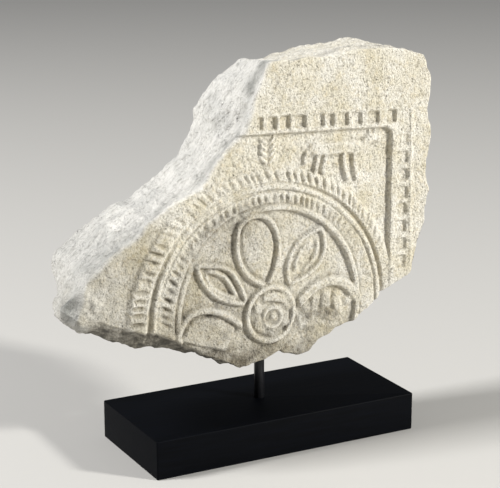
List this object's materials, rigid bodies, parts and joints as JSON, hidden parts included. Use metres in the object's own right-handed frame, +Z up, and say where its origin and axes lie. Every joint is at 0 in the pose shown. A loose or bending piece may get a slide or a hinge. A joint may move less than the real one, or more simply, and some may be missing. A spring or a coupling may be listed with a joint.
{
  "type": "stone relief panel",
  "caption": "Broken limestone relief with a rosette, banded border and small animal, held upright by a steel post in a black block.",
  "frame": {"origin": "middle of the block's underside, where it stands on a surface", "axes": "+Z up, +X along the block towards the right of the carved face, -Y the way the carved face looks"},
  "size_m": [0.384, 0.125, 0.382],
  "materials": {
    "limestone": "weathered carved limestone, cream, granular, with paler smooth breaks",
    "black_steel": "round steel rod, satin black paint",
    "black_wood": "wooden block, satin black paint"
  },
  "bodies": {
    "root": {"relief_panel": "limestone", "post": "black_steel", "base_block": "black_wood"}
  },
  "joints": []
}
